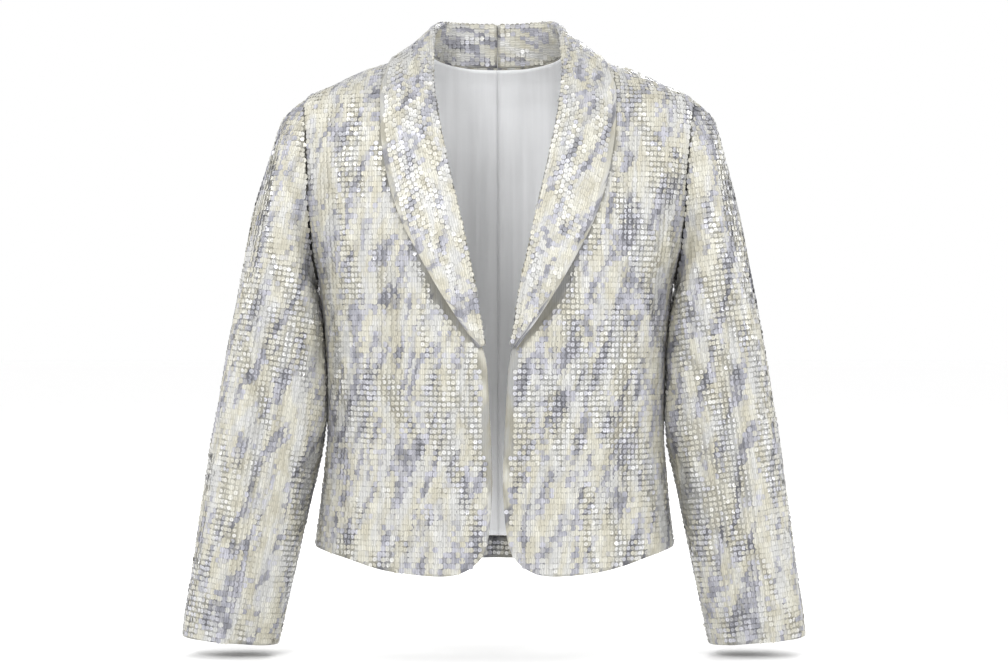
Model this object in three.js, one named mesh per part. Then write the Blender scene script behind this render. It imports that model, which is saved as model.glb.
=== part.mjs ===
import * as THREE from 'three';

// Cropped open-front blazer with a shawl collar and long set-in sleeves, as it hangs
// filled out on a wearer's shoulders. Millimetres. +X is the wearer's left, the front
// faces -Y, +Z is up and the origin lies between the two neck points.

const SHELL = 1.8; // outer cloth with its covering of sequins
const COLLAR_CLOTH = 2.2; // collar and lapel, two layers pressed together
const LINING = 1.0; // satin lining and hem turn-up
const SEAM = 0.4; // space left between two pieces along a seam
const COLLAR_SEAM = 0.7; // the same round the neck, where both walls bend
const NECK_Z = 9; // inner end of the shoulder seam, at the neck point
const SHOULDER_Z = -45.6; // outer end of the shoulder seam
const UNDERARM_Z = -245; // lowest point of the armhole
const ARMHOLE_DEPTH = { front: 44, back: 54 }; // how far the armhole swings off the side
const LINING_SPACE = 1.0; // between the back and what lies inside it
const TURNUP = 24; // height of the hem turned up inside the back
const SIDE_CLEARANCE = 2; // sleeve to body below the underarm

const SIDE_ROWS = 12; // rows of a panel from the hem to the underarm
const ARMHOLE_ROWS = 12; // rows of a panel along the armhole
const EDGE_ROWS = 11; // rows of a front from its hem corner to the break of the lapel
const ROWS = SIDE_ROWS + ARMHOLE_ROWS;
const NECK_COLUMNS = 6; // columns of half the back along the neckline
const SHOULDER_COLUMNS = 8; // columns of half the back along the shoulder
const FRONT_COLUMNS = 11;
const BACK_COLUMNS = NECK_COLUMNS + SHOULDER_COLUMNS;
const AROUND = 2 * ARMHOLE_ROWS; // points round a sleeve
const BREAK = 13; // collar station where the lapel ends

const CLOTH_COLOUR = 0xd3d2cb;
const COLLAR_COLOUR = 0xdbdbd4;
const LINING_COLOUR = 0xc6c7c8;
const TURNUP_COLOUR = 0xb9b8ae;

// Rows of numbers under named columns.
function table(names, rows) {
  return rows.map((row) => Object.fromEntries(names.map((name, i) => [name, row[i]])));
}

// Smooth curve through one column of a table, without overshoot between its rows.
function track(rows, key, column) {
  const knots = rows.map((row) => [row[key], row[column]]).sort((a, b) => a[0] - b[0]);
  const last = knots.length - 1;
  const slope = (i) => (knots[i + 1][1] - knots[i][1]) / (knots[i + 1][0] - knots[i][0]);
  const tangents = knots.map((_, i) => {
    if (i === 0) return slope(0);
    if (i === last) return slope(last - 1);
    const before = slope(i - 1);
    const after = slope(i);
    return before * after <= 0 ? 0 : (2 * before * after) / (before + after);
  });
  return (value) => {
    const v = Math.min(Math.max(value, knots[0][0]), knots[last][0]);
    let i = 0;
    while (i < last - 1 && v > knots[i + 1][0]) i += 1;
    const width = knots[i + 1][0] - knots[i][0];
    const t = (v - knots[i][0]) / width;
    const s = 1 - t;
    return s * s * (1 + 2 * t) * knots[i][1] + t * t * (3 - 2 * t) * knots[i + 1][1]
      + s * s * t * width * tangents[i] - t * t * s * width * tangents[i + 1];
  };
}

const mix = (a, b, t) => a + (b - a) * t;
const vec = (x, y, z) => new THREE.Vector3(x, y, z);
const smooth = (a, b, v) => THREE.MathUtils.smoothstep(v, a, b);

// ---- body: level rings through the shoulders, chest, waist and hem -----------------

const TORSO = table(['z', 'half', 'front', 'back', 'power'], [
  [9, 78, 22, 48, 2.0],
  [-6.5, 113, 40, 71.5, 2.0],
  [-11.6, 129, 46, 76, 2.0],
  [-17, 146, 51, 81, 2.0],
  [-30, 173, 58, 88, 2.05],
  [-45.6, 205, 66, 95, 2.1],
  [-62, 214, 73, 99, 2.15],
  [-89, 217, 84, 104, 2.25],
  [-134, 213, 97, 110, 2.35],
  [-198, 201, 108, 111, 2.4],
  [-250, 187, 113, 107, 2.4],
  [-330, 180, 113, 99, 2.4],
  [-396, 179, 108, 96, 2.4],
  [-444, 183, 106, 97, 2.4],
  [-508, 190.5, 107, 103, 2.4],
  [-545, 195.5, 108, 106, 2.4],
]);
const torsoHalf = track(TORSO, 'z', 'half');
const torsoFront = track(TORSO, 'z', 'front');
const torsoBack = track(TORSO, 'z', 'back');
const torsoPower = track(TORSO, 'z', 'power');
const torsoDepth = (z, face) => (face < 0 ? torsoFront(z) : torsoBack(z));

// Point of the body, by its angle round from the centre line; face is -1 front, 1 back.
function onTorso(angle, z, face) {
  const turn = 2 / torsoPower(z);
  const across = Math.max(Math.sin(angle), 0) ** turn;
  const deep = Math.max(Math.cos(angle), 0) ** turn;
  return vec(torsoHalf(z) * across, face * torsoDepth(z, face) * deep, z);
}

function torsoAngle(x, z) {
  return Math.asin(Math.min(1, x / torsoHalf(z)) ** (torsoPower(z) / 2));
}

// How far out the body reaches at one depth and height.
function torsoReach(y, z) {
  const depth = Math.min(1, Math.abs(y) / torsoDepth(z, Math.sign(y)));
  return torsoHalf(z) * (1 - depth ** torsoPower(z)) ** (1 / torsoPower(z));
}

// Zero on the body's surface, more outside it.
function bodyField(p, face) {
  const power = torsoPower(p.z);
  return (Math.abs(p.x) / torsoHalf(p.z)) ** power
    + (Math.abs(p.y) / torsoDepth(p.z, face)) ** power - 1;
}

function bodyGradient(p, face) {
  const h = 0.05;
  const slope = (x, y, z) => (bodyField(vec(p.x + x, p.y + y, p.z + z), face)
    - bodyField(vec(p.x - x, p.y - y, p.z - z), face)) / (2 * h);
  return vec(slope(h, 0, 0), slope(0, h, 0), slope(0, 0, h));
}

const bodyNormal = (p, face) => bodyGradient(p, face).normalize();

// ---- armhole ------------------------------------------------------------------------

function armhole(t, face) {
  const width = face < 0 ? ARMHOLE_DEPTH.front : ARMHOLE_DEPTH.back;
  const z = mix(SHOULDER_Z, UNDERARM_Z, (1 - Math.cos(Math.PI * t)) / 2);
  const y = face * width * Math.sin(Math.PI * t);
  return vec(torsoReach(y, z), y, z);
}

// ---- collar stations, from the centre back round the neck to the break --------------
// roll is the fold the collar turns over, edge its free edge, seam where it is sewn on.

const COLLAR = table(
  ['s', 'rollX', 'rollY', 'rollZ', 'edgeX', 'edgeZ', 'seamX', 'seamZ', 'lift', 'radius'],
  [
    [0, 0, 68, 42.5, 0, -22, 0, -4, 2.6, 3.8],
    [1, 28, 64, 42.8, 42, -22, 25, -3.5, 2.6, 3.8],
    [2, 49, 50, 42, 78, -19, 45, -1.5, 2.6, 3.8],
    [3, 59, 30, 39, 98, -11, 62, 2, 2.6, 3.8],
    [4, 63.5, 6, 32.5, 107, -3.9, 78, NECK_Z, 2.6, 3.8],
    [5, 66, -18, 14, 115, -21, 75.5, -9.5, 2.8, 3.8],
    [6, 66.5, -46, -18, 121.5, -46, 72, -36, 3.0, 3.8],
    [7, 61.5, -73, -62, 120, -84, 68, -66, 3.2, 3.8],
    [8, 51, -93, -116, 112.5, -131, 57.5, -118, 3.4, 3.8],
    [9, 39, -104, -168, 99, -175, 45.5, -170, 4.4, 3.8],
    [10, 29.5, -111, -209, 81, -211, 36, -211, 5.8, 3.8],
    [11, 21.5, -114.1, -250, 60, -248, 28, -251.5, 5.4, 3.7],
    [12, 16.3, -114.1, -283, 37, -284, 22, -284, 3.8, 3.2],
    [13, 12, -113.6, -305.6, 19, -309, 16.4, -307, 2.2, 2.7],
  ],
);
const collarTrack = Object.fromEntries(
  ['rollX', 'rollY', 'rollZ', 'edgeX', 'edgeZ', 'seamX', 'seamZ', 'lift', 'radius']
    .map((column) => [column, track(COLLAR, 's', column)]),
);
const NECK_STATION = 4;
const LAPEL_ROWS = ROWS - EDGE_ROWS;
const neckStation = (k) => (NECK_STATION * k) / NECK_COLUMNS;
const lapelStation = (k) => mix(NECK_STATION, BREAK, k / LAPEL_ROWS);
const stationFace = (s) => (s < NECK_STATION ? 1 : -1);

// ---- outlines of the panels, as angle and height on the body -------------------------

const FRONT_EDGE = [
  [20, -526.5], [14.5, -519], [10.6, -508], [8.4, -494], [6.2, -470], [5.2, -443],
  [6.2, -412], [7.7, -382], [9.2, -354], [10.6, -331], [13.2, -316], [16.4, -307],
];
const FRONT_HEM = [
  [20, -526.5], [27, -532.5], [34, -536.5], [43, -539.8], [58, -541.4], [78, -540.6],
  [97, -538.8], [116, -536], [132, -532], [147, -527.6], [165, -522.6], [179, -519],
];
const BACK_HEM = [[0, -541], [30, -541], [60, -540], [90, -537.5], [118, -533.5],
  [145, -527.5], [165, -522.6], [179, -519]];
const SIDE_HEM_Z = -516;

// Even points along a smooth line through a list of x and z, ending on the side seam.
function outline(list, count, toSide) {
  const points = list.map(([x, z]) => new THREE.Vector2(x, z));
  if (toSide) points.push(new THREE.Vector2(torsoHalf(SIDE_HEM_Z), SIDE_HEM_Z));
  const line = new THREE.SplineCurve(points).getSpacedPoints(count);
  return line.map((p) => [torsoAngle(Math.max(p.x, 0), p.y), p.y]);
}

function sideAndArmhole(face) {
  const edge = [];
  for (let i = 0; i < SIDE_ROWS; i += 1) {
    edge.push([Math.PI / 2, mix(SIDE_HEM_Z, UNDERARM_Z, i / SIDE_ROWS)]);
  }
  for (let i = 0; i <= ARMHOLE_ROWS; i += 1) {
    const p = armhole(1 - i / ARMHOLE_ROWS, face);
    const deep = Math.abs(p.y) / torsoDepth(p.z, face);
    edge.push([Math.acos(Math.min(1, deep ** (torsoPower(p.z) / 2))), p.z]);
  }
  return edge;
}

function shoulderSeam(count) {
  const points = [NECK_Z, -6.5, -11.6, -17, -30, SHOULDER_Z].map((z) => (
    new THREE.Vector2(torsoHalf(z), z)));
  const line = new THREE.SplineCurve(points).getSpacedPoints(count);
  return line.map((p) => [Math.PI / 2, p.y]);
}

function seamAngle(s) {
  const z = collarTrack.seamZ(s);
  return [torsoAngle(collarTrack.seamX(s), z), z];
}

function seamPoint(s) {
  const [angle, z] = seamAngle(s);
  return onTorso(angle, z, stationFace(s));
}

function frontOutline() {
  const left = outline(FRONT_EDGE, EDGE_ROWS, false);
  for (let k = LAPEL_ROWS - 1; k >= 0; k -= 1) left.push(seamAngle(lapelStation(k)));
  return {
    left,
    right: sideAndArmhole(-1),
    bottom: outline(FRONT_HEM, FRONT_COLUMNS, true),
    top: shoulderSeam(FRONT_COLUMNS),
  };
}

function backOutline() {
  const left = [];
  const [, hem] = BACK_HEM[0];
  const neck = collarTrack.seamZ(0);
  for (let i = 0; i <= ROWS; i += 1) left.push([0, mix(hem, neck, i / ROWS)]);
  const top = [];
  for (let k = 0; k < NECK_COLUMNS; k += 1) top.push(seamAngle(neckStation(k)));
  top.push(...shoulderSeam(SHOULDER_COLUMNS));
  return {
    left, right: sideAndArmhole(1), bottom: outline(BACK_HEM, BACK_COLUMNS, true), top,
  };
}

// Moves a point onto the body's surface.
function settled(p, face) {
  for (let k = 0; k < 8; k += 1) {
    const gradient = bodyGradient(p, face);
    p.addScaledVector(gradient, -bodyField(p, face) / gradient.lengthSq());
  }
  return p;
}

// Grid of points over a panel, spread between its four edges and settled on the body.
function spread(edges, face) {
  const [left, right, top, bottom] = ['left', 'right', 'top', 'bottom'].map((name) => (
    edges[name].map(([angle, z]) => onTorso(angle, z, face))));
  const rows = left.length - 1;
  const columns = top.length - 1;
  const between = (a, b, t) => a.clone().lerp(b, t);
  return left.map((_, i) => top.map((__, j) => {
    const u = j / columns;
    const v = i / rows;
    const p = between(bottom[j], top[j], v).add(between(left[i], right[i], u));
    p.sub(between(between(bottom[0], bottom[columns], u), between(top[0], top[columns], u), v));
    return i % rows === 0 || j % columns === 0 ? p : settled(p, face);
  }));
}

// ---- folds of the cloth --------------------------------------------------------------
// Each runs from one point to another, swelling to its rise (a hollow if negative) halfway.

const FRONT_FOLDS = table(['x0', 'z0', 'x1', 'z1', 'width', 'rise'], [
  [-44, -235, -62, -560, 17, 2.6],
  [-104, -190, -96, -410, 13, -3.0],
  [-128, -170, -118, -470, 13, 2.2],
  [-176, -90, -164, -250, 9, -2.4],
  [-150, -330, -142, -580, 14, -2.0],
  [-84, -420, -92, -590, 14, -1.6],
  [98, -120, 76, -420, 15, 2.6],
  [132, -80, 122, -260, 12, -2.8],
  [172, -110, 160, -270, 9, -2.2],
  [48, -250, 58, -470, 14, -1.8],
  [112, -300, 104, -585, 15, -2.4],
  [142, -260, 140, -520, 13, 2.0],
  [34, -380, 44, -590, 14, 2.0],
]);
const BACK_FOLDS = table(['x0', 'z0', 'x1', 'z1', 'width', 'rise'], [
  [-58, -150, -48, -580, 20, 2.4],
  [20, -200, 12, -590, 18, -2.2],
  [88, -120, 74, -560, 18, 2.6],
  [-118, -110, -104, -420, 15, -2.8],
  [138, -100, 122, -400, 14, -2.6],
  [-22, -300, -28, -600, 14, -1.8],
]);

function foldRise(x, z, folds) {
  return folds.reduce((rise, fold) => {
    const dx = fold.x1 - fold.x0;
    const dz = fold.z1 - fold.z0;
    const length = Math.hypot(dx, dz);
    const along = ((x - fold.x0) * dx + (z - fold.z0) * dz) / length ** 2;
    const off = ((x - fold.x0) * dz - (z - fold.z0) * dx) / length;
    if (along <= 0 || along >= 1) return rise;
    return rise + fold.rise * Math.sin(Math.PI * along) * Math.exp(-((off / fold.width) ** 2));
  }, 0);
}

// ---- building pieces -----------------------------------------------------------------

// A garment never hangs quite even: the middle and the two sides drift by a few mm.
const HANG = table(['z', 'middle', 'sides'], [
  [45, 1, 1], [-10, 1.6, 2.2], [-40, 2, 3.2], [-80, 2.1, 2.4], [-130, 2.1, 1.2],
  [-260, 2.1, 0.3], [-400, 2.1, -0.3], [-500, 2.1, -1.3], [-620, 2.1, -2.2],
]);
const hangMiddle = track(HANG, 'z', 'middle');
const hangSides = track(HANG, 'z', 'sides');

function hung(p) {
  const shift = mix(hangMiddle(p.z), hangSides(p.z), smooth(70, 180, Math.abs(p.x)));
  return vec(p.x + shift, p.y, p.z);
}

// Closed wall: a grid of outer points thickened inward along the normals given.
function wall(name, outer, normals, thickness, colour, closedRound = false) {
  const rows = outer.length;
  const columns = outer[0].length;
  const inner = outer.map((row, i) => row.map((p, j) => (
    p.clone().addScaledVector(normals[i][j], -thickness))));
  const points = [outer, inner].flat(2).map(hung);
  const at = (layer, i, j) => (layer * rows + i) * columns + (j % columns);
  const across = closedRound ? columns : columns - 1;
  const quads = [];
  for (let i = 0; i < rows - 1; i += 1) {
    for (let j = 0; j < across; j += 1) {
      quads.push([at(0, i, j), at(0, i, j + 1), at(0, i + 1, j + 1), at(0, i + 1, j)]);
      quads.push([at(1, i, j), at(1, i + 1, j), at(1, i + 1, j + 1), at(1, i, j + 1)]);
    }
    if (!closedRound) {
      const end = columns - 1;
      quads.push([at(0, i, 0), at(0, i + 1, 0), at(1, i + 1, 0), at(1, i, 0)]);
      quads.push([at(0, i, end), at(1, i, end), at(1, i + 1, end), at(0, i + 1, end)]);
    }
  }
  for (let j = 0; j < across; j += 1) {
    const end = rows - 1;
    quads.push([at(0, 0, j), at(1, 0, j), at(1, 0, j + 1), at(0, 0, j + 1)]);
    quads.push([at(0, end, j), at(0, end, j + 1), at(1, end, j + 1), at(1, end, j)]);
  }
  const triangles = quads.flatMap(([a, b, c, d]) => [[a, b, c], [a, c, d]]);
  const volume = triangles.reduce((sum, [a, b, c]) => (
    sum + points[a].dot(points[b].clone().cross(points[c]))), 0);
  const index = triangles.flatMap(([a, b, c]) => (volume > 0 ? [a, b, c] : [a, c, b]));
  const geometry = new THREE.BufferGeometry();
  geometry.setAttribute('position', new THREE.Float32BufferAttribute(
    points.flatMap((p) => [p.x, p.y, p.z]), 3));
  geometry.setIndex(index);
  geometry.computeVertexNormals();
  const material = new THREE.MeshStandardMaterial({ color: colour, roughness: 0.6 });
  const mesh = new THREE.Mesh(geometry, material);
  mesh.name = name;
  return mesh;
}

const mirrored = (grid) => grid.map((row) => row.map((p) => vec(-p.x, p.y, p.z)));
const handed = (grid, hand) => (hand < 0 ? mirrored(grid) : grid);
const bothHalves = (grid) => grid.map((row) => [
  ...row.slice(1).reverse().map((p) => vec(-p.x, p.y, p.z)), ...row]);

// Normals of a grid of points, from the neighbours on each side.
function gridNormals(grid, closedRound) {
  const columns = grid[0].length;
  const limit = (v, top) => Math.min(Math.max(v, 0), top);
  return grid.map((row, i) => row.map((_, j) => {
    const up = grid[limit(i + 1, grid.length - 1)][j].clone()
      .sub(grid[limit(i - 1, grid.length - 1)][j]);
    const before = closedRound ? (j + columns - 1) % columns : limit(j - 1, columns - 1);
    const after = closedRound ? (j + 1) % columns : limit(j + 1, columns - 1);
    return row[after].clone().sub(row[before]).cross(up).normalize();
  }));
}

// ---- sleeves ---------------------------------------------------------------------------
// Rings from the cap to the cuff: outermost point, innermost point, half depths.

const SLEEVE = table(['outX', 'outZ', 'inX', 'inZ', 'front', 'back', 'midY', 'power'], [
  [217.5, -55, 190, -249, 47, 57, 0, 2.0],
  [229, -68, 190, -252, 51, 60, 0, 2.05],
  [237, -94, 188, -257, 55, 62, 0, 2.1],
  [247, -128, 184, -264, 58, 63, -0.5, 2.15],
  [258, -172, 180, -274, 61, 64, -1, 2.2],
  [266.5, -215, 177, -290, 62, 64, -2, 2.2],
  [275.5, -264, 175, -310, 60, 61, -3, 2.2],
  [285.5, -318, 172, -340, 57, 58, -5, 2.2],
  [293.5, -368, 171, -378, 53, 54, -7, 2.2],
  [300, -405, 178, -404, 51, 52, -9, 2.2],
  [305.5, -445, 187.5, -443, 49, 50, -11, 2.2],
  [312, -490, 197, -487, 47, 47, -13, 2.2],
  [318, -535, 206.5, -531, 45, 45, -15, 2.2],
  [323.5, -573, 215, -571, 42.5, 43, -17, 2.2],
  [326.5, -593, 221, -598, 40, 41, -17.5, 2.2],
  [328, -611, 226, -620, 38.5, 39.5, -18, 2.2],
]);
const SLEEVE_FOLDS = table(['hand', 'turn0', 'z0', 'turn1', 'z1', 'width', 'rise'], [
  [-1, 55, -190, 84, -650, 13, 3.0],
  [-1, 108, -230, 132, -650, 13, 2.8],
  [-1, 80, -230, 108, -640, 12, -3.2],
  [-1, 36, -80, 58, -260, 11, -2.4],
  [-1, 150, -300, 96, -362, 10, -2.6],
  [-1, 158, -400, 120, -450, 9, -2.0],
  [1, 60, -170, 78, -640, 13, 2.8],
  [1, 116, -200, 126, -640, 13, 3.0],
  [1, 88, -240, 102, -650, 12, -3.4],
  [1, 40, -90, 66, -250, 11, -2.2],
  [1, 152, -330, 92, -400, 10, -2.4],
  [1, 160, -420, 118, -470, 9, -2.2],
  [-1, 282, -150, 262, -620, 15, -2.8],
  [-1, 236, -280, 300, -370, 12, 2.4],
  [1, 280, -160, 258, -630, 15, -2.8],
  [1, 234, -300, 296, -390, 12, 2.4],
]);

function sleeveGrid() {
  const first = Array.from({ length: AROUND }, (_, j) => (j <= ARMHOLE_ROWS
    ? armhole(j / ARMHOLE_ROWS, -1) : armhole((AROUND - j) / ARMHOLE_ROWS, 1)));
  const rings = SLEEVE.map((ring, k) => first.map((_, j) => {
    const angle = (2 * Math.PI * j) / AROUND;
    const turn = 2 / ring.power;
    const lift = Math.sign(Math.sin(angle)) * Math.abs(Math.sin(angle)) ** turn;
    const out = Math.sign(Math.cos(angle)) * Math.abs(Math.cos(angle)) ** turn;
    const y = ring.midY - lift * (lift > 0 ? ring.front : ring.back);
    const p = vec(mix(ring.inX, ring.outX, (1 + out) / 2), y,
      mix(ring.inZ, ring.outZ, (1 + out) / 2));
    const clearance = Math.min(SIDE_CLEARANCE, 0.8 + 0.6 * k);
    p.x = Math.max(p.x, torsoReach(p.y, p.z) + clearance);
    return p;
  }));
  return [first, ...rings];
}

const SLEEVE_GRID = sleeveGrid();
const SLEEVE_NORMALS = gridNormals(SLEEVE_GRID, true).map((row, i) => row.map((n, j) => {
  const middle = SLEEVE_GRID[i].reduce((sum, p) => sum.add(p), vec(0, 0, 0))
    .multiplyScalar(1 / AROUND);
  return n.dot(SLEEVE_GRID[i][j].clone().sub(middle)) < 0 ? n.negate() : n;
}));

// Along the armhole both walls end on one mitre, half way between their normals.
const MITRES = SLEEVE_GRID[0].map((p, j) => {
  const face = j > 0 && j < ARMHOLE_ROWS ? -1 : 1;
  const mitre = bodyNormal(p, face).add(SLEEVE_NORMALS[0][j]);
  if (j % ARMHOLE_ROWS === 0) mitre.y = 0;
  return mitre.normalize();
});

function sleeve(hand) {
  const grid = SLEEVE_GRID.map((row, i) => row.map((p, j) => {
    if (i > 0) {
      const turn = (360 * j) / AROUND;
      const folds = SLEEVE_FOLDS.filter((fold) => fold.hand === hand).map((fold) => ({
        ...fold, x0: fold.turn0, x1: fold.turn1,
      }));
      return p.clone().addScaledVector(SLEEVE_NORMALS[i][j], foldRise(turn, p.z, folds));
    }
    const before = row[(j + AROUND - 1) % AROUND];
    const away = MITRES[j].clone().cross(row[(j + 1) % AROUND].clone().sub(before)).normalize();
    if (away.dot(SLEEVE_GRID[1][j].clone().sub(p)) < 0) away.negate();
    return p.clone().addScaledVector(away, SEAM + 0.15);
  }));
  const normals = [MITRES, ...SLEEVE_NORMALS.slice(1)];
  const name = hand > 0 ? 'sleeve_left' : 'sleeve_right';
  return wall(name, handed(grid, hand), handed(normals, hand), SHELL, CLOTH_COLOUR, true);
}

// ---- fronts and back -------------------------------------------------------------------

// Points and normals of a panel; the front and back stand half a seam off each other.
function panel(edges, face) {
  const grid = spread(edges, face);
  const columns = grid[0].length - 1;
  const skin = grid.map((row) => row.map((p) => bodyNormal(p, face)));
  const normals = skin.map((row, i) => row.map((n, j) => {
    if (j < columns || i < SIDE_ROWS) return n;
    const step = ROWS - i;
    return MITRES[face < 0 ? step : (AROUND - step) % AROUND].clone();
  }));
  grid.flat().forEach((p) => { p.y += (face * SEAM) / 2; });
  return { grid, normals, skin };
}

// Folds fade out towards the seams but run out through the hem.
function folded(grid, normals, folds, free) {
  const rows = grid.length - 1;
  const columns = grid[0].length - 1;
  return grid.map((row, i) => row.map((p, j) => {
    const left = free ? 1 : Math.min(1, j / 2);
    const fade = left * Math.min(1, (columns - j) / 2) * Math.min(1, (rows - i) / 3);
    return p.clone().addScaledVector(normals[i][j], fade * foldRise(p.x, p.z, folds));
  }));
}

function front(hand) {
  const { grid, normals } = panel(frontOutline(), -1);
  const turned = handed(normals, hand);
  const outer = folded(handed(grid, hand), turned, FRONT_FOLDS, false);
  return wall(hand > 0 ? 'front_left' : 'front_right', outer, turned, SHELL, CLOTH_COLOUR);
}

const half = panel(backOutline(), 1);
const BACK_NORMALS = bothHalves(half.normals);
const BACK_SKIN = bothHalves(half.skin);
const BACK_GRID = folded(bothHalves(half.grid), BACK_NORMALS, BACK_FOLDS, false);

// ---- lining and hem turn-up, carried on the inside of the back -------------------------

// First and last whole rows of the back that each layer follows between its two edges.
const LAYER_INSET = 0.16; // share of a column left bare at the side seam and armhole
const LAYER_ROWS = {
  lining_back_left: [2, ROWS - 1], lining_back_right: [2, ROWS - 1], hem_turnup: [1, 1],
};

// Layer inside the back over some of its columns, from a height above the hem up to a
// distance below the top edge, or up to the turn-up's own height.
function backLayer(name, first, last, fromHem, toTop, colour) {
  const edge = BACK_GRID[0].length - 1;
  const spot = (k, j) => BACK_GRID[k][j].clone()
    .addScaledVector(BACK_SKIN[k][j], -(SHELL + LINING_SPACE));
  const lines = [];
  for (let j = first; j <= last; j += 1) {
    const beside = j === 0 ? 1 : edge - 1;
    const held = j === 0 || j === edge ? LAYER_INSET : 0;
    const spots = BACK_GRID.map((_, k) => spot(k, j).lerp(spot(k, beside), held));
    const leans = BACK_SKIN.map((row) => row[j].clone().lerp(row[beside], held));
    const lengths = spots.map((p, k) => (k ? p.distanceTo(spots[k - 1]) : 0));
    const reach = lengths.map((_, k) => lengths.slice(0, k + 1).reduce((a, b) => a + b, 0));
    const place = (length) => {
      const k = Math.max(1, reach.findIndex((r) => r >= length));
      const t = (length - reach[k - 1]) / lengths[k];
      return [spots[k - 1].clone().lerp(spots[k], t), leans[k - 1].clone().lerp(leans[k], t)];
    };
    const [low, high] = LAYER_ROWS[name];
    const line = [
      place(fromHem),
      ...spots.slice(low, high + 1).map((p, k) => [p, leans[low + k]]),
      place(toTop === null ? TURNUP : reach[reach.length - 1] - toTop),
    ];
    const centre = j === BACK_COLUMNS && first !== 0 ? 1 : -1;
    line.forEach(([p, n]) => {
      if (j === BACK_COLUMNS && last - first === BACK_COLUMNS) {
        p.x += (centre * SEAM) / 2;
        n.x = 0;
      }
      n.normalize();
    });
    lines.push(line);
  }
  const layer = (part) => lines[0].map((_, i) => lines.map((line) => line[i][part]));
  return wall(name, layer(0), layer(1), LINING, colour);
}

// ---- collar ----------------------------------------------------------------------------

const STAND_STEPS = 3;
const SHORT_STAND = 8; // below this the stand lies flat, level with the front
const ROLL_STEPS = 5;
const FALL_STEPS = 7;

// Pushes a point out until it stands a set distance off the body.
function clearOfBody(p, face, distance) {
  for (let k = 0; k < 4 && p.z < NECK_Z; k += 1) {
    const gradient = bodyGradient(p, face);
    const steep = gradient.length();
    const short = distance - bodyField(p, face) / steep;
    if (short > 0) p.addScaledVector(gradient, short / steep);
  }
  return p;
}

// One cross section: up from the seam, over the roll and down to the free edge.
function collarSection(s) {
  const at = Object.fromEntries(Object.entries(collarTrack).map(([k, f]) => [k, f(s)]));
  const face = stationFace(s);
  const seam = seamPoint(s);
  const normal = bodyNormal(seam, face);
  const edge = onTorso(torsoAngle(at.edgeX, at.edgeZ), at.edgeZ, face);
  edge.addScaledVector(bodyNormal(edge, face), at.lift + COLLAR_CLOTH);
  const roll = vec(at.rollX, at.rollY, at.rollZ);
  const upward = roll.clone().sub(seam.clone().add(edge).multiplyScalar(0.5)).normalize();
  const outward = normal.clone().addScaledVector(upward, -normal.dot(upward)).normalize();
  const centre = roll.clone().addScaledVector(upward, -at.radius);
  const ahead = normal.clone().cross(seamPoint(s + 0.02).sub(seamPoint(Math.max(s - 0.02, 0))));
  ahead.normalize();
  if (ahead.dot(upward) < 0) ahead.negate();
  const base = seam.clone().addScaledVector(ahead, COLLAR_SEAM)
    .addScaledVector(normal, -COLLAR_CLOTH);
  const inside = centre.clone().addScaledVector(outward, -at.radius);
  const outside = centre.clone().addScaledVector(outward, at.radius);
  const points = [];
  for (let k = 0; k < STAND_STEPS; k += 1) points.push(base.clone().lerp(inside, k / STAND_STEPS));
  for (let k = 0; k < ROLL_STEPS; k += 1) {
    const turn = (Math.PI * k) / ROLL_STEPS;
    points.push(centre.clone().addScaledVector(outward, -at.radius * Math.cos(turn))
      .addScaledVector(upward, at.radius * Math.sin(turn)));
  }
  const drop = outside.clone().addScaledVector(upward, -0.45 * outside.distanceTo(edge));
  for (let k = 0; k <= FALL_STEPS; k += 1) {
    const t = k / FALL_STEPS;
    const p = outside.clone().multiplyScalar((1 - t) ** 2)
      .addScaledVector(drop, 2 * t * (1 - t)).addScaledVector(edge, t * t);
    const height = mix(2 * at.radius - COLLAR_CLOTH, at.lift + COLLAR_CLOTH, t);
    points.push(clearOfBody(p, face, height));
  }
  return { points, normal };
}

function collar(hand) {
  const stations = [];
  for (let k = 0; k <= NECK_COLUMNS; k += 1) stations.push(neckStation(k));
  for (let k = 1; k <= LAPEL_ROWS; k += 1) stations.push(lapelStation(k));
  const sections = stations.map(collarSection);
  const grid = sections.map((section) => section.points);
  const normals = gridNormals(grid, false).map((row, i) => row.map((n, j) => {
    const flat = sections[i].points[0].distanceTo(sections[i].points[STAND_STEPS]) < SHORT_STAND;
    if (j === 0 || (flat && j < STAND_STEPS)) return sections[i].normal.clone().negate();
    if (i === 0) n.x = 0;
    return n.normalize();
  }));
  const last = normals[0].length - 1;
  if (normals[0][last].y < 0) {
    normals.forEach((row) => row.slice(1).forEach((n) => n.negate()));
  }
  grid[0].forEach((p) => { p.x += SEAM / 2; });
  const name = hand > 0 ? 'collar_left' : 'collar_right';
  return wall(name, handed(grid, hand), handed(normals, hand), COLLAR_CLOTH, COLLAR_COLOUR);
}

const group = new THREE.Group();
group.name = 'blazer';
group.add(
  wall('back', BACK_GRID, BACK_NORMALS, SHELL, CLOTH_COLOUR),
  front(1),
  front(-1),
  sleeve(1),
  sleeve(-1),
  collar(1),
  collar(-1),
  backLayer('lining_back_right', 0, BACK_COLUMNS, TURNUP + 1.2, 1.8, LINING_COLOUR),
  backLayer('lining_back_left', BACK_COLUMNS, 2 * BACK_COLUMNS, TURNUP + 1.2, 1.8, LINING_COLOUR),
  backLayer('hem_turnup', 0, 2 * BACK_COLUMNS, 0.5, null, TURNUP_COLOUR),
);

export default group;
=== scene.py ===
import math

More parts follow.
